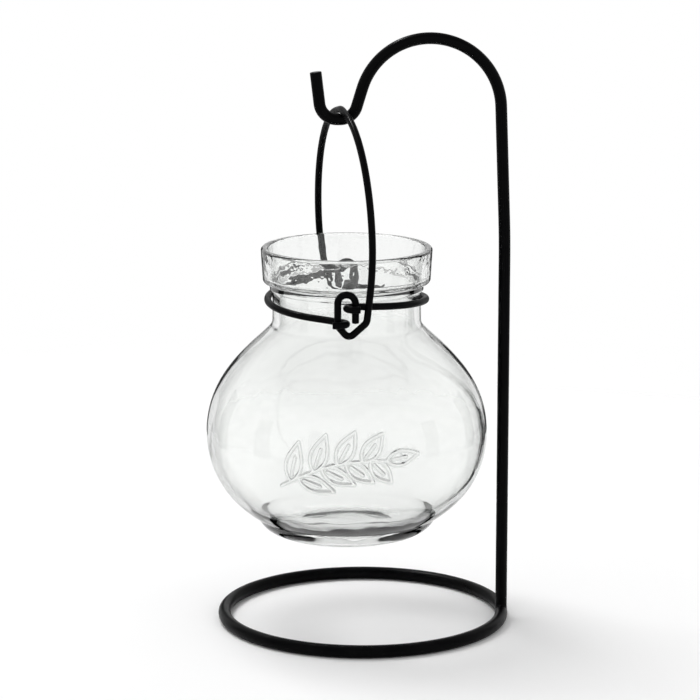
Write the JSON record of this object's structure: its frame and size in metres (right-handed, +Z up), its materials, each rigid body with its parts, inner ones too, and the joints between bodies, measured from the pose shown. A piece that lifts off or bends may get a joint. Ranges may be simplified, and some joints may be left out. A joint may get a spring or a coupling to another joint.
{
  "type": "hanging vase with stand",
  "caption": "Clear round-bellied glass vase that hangs by a bent-wire bail and neck wires from the hook of a black ring-based steel stand.",
  "frame": {"origin": "on the surface that the base ring rests on, under the middle of the whole object's box", "axes": "+Z up, +X from the vase towards the post, the hook opens upwards near the middle, -Y is the side that the picture shows"},
  "size_m": [0.1568, 0.1504, 0.305],
  "materials": {
    "black_coated_steel": "satin black powder coat on mild steel rod",
    "black_coated_wire": "satin black coat on mild steel wire",
    "clear_glass": "clear pressed soda-lime glass, fire polished"
  },
  "bodies": {
    "stand": {"base_ring": "black_coated_steel", "upright_rod": "black_coated_steel", "foot_weld": "black_coated_steel"},
    "bail": {"bail": "black_coated_wire"},
    "neck_hoop": {"neck_wire_left": "black_coated_wire", "neck_wire_right": "black_coated_wire"},
    "vase": {"vase": "clear_glass"}
  },
  "joints": [
    {"name": "bail_swing", "type": "hinge", "parent": "stand", "child": "bail", "pos_m": [-0.01038, 0, 0.261], "axis": [1, 0, 0], "range_deg": [-35, 35]},
    {"name": "neck_rock", "type": "hinge", "parent": "bail", "child": "neck_hoop", "pos_m": [-0.00618, 0, 0.16498], "axis": [0, 1, 0], "range_deg": [-3, 3]},
    {"name": "vase_turn", "type": "hinge", "parent": "neck_hoop", "child": "vase", "pos_m": [-0.00618, 0, 0.1], "axis": [0, 0, 1], "continuous": true}
  ]
}
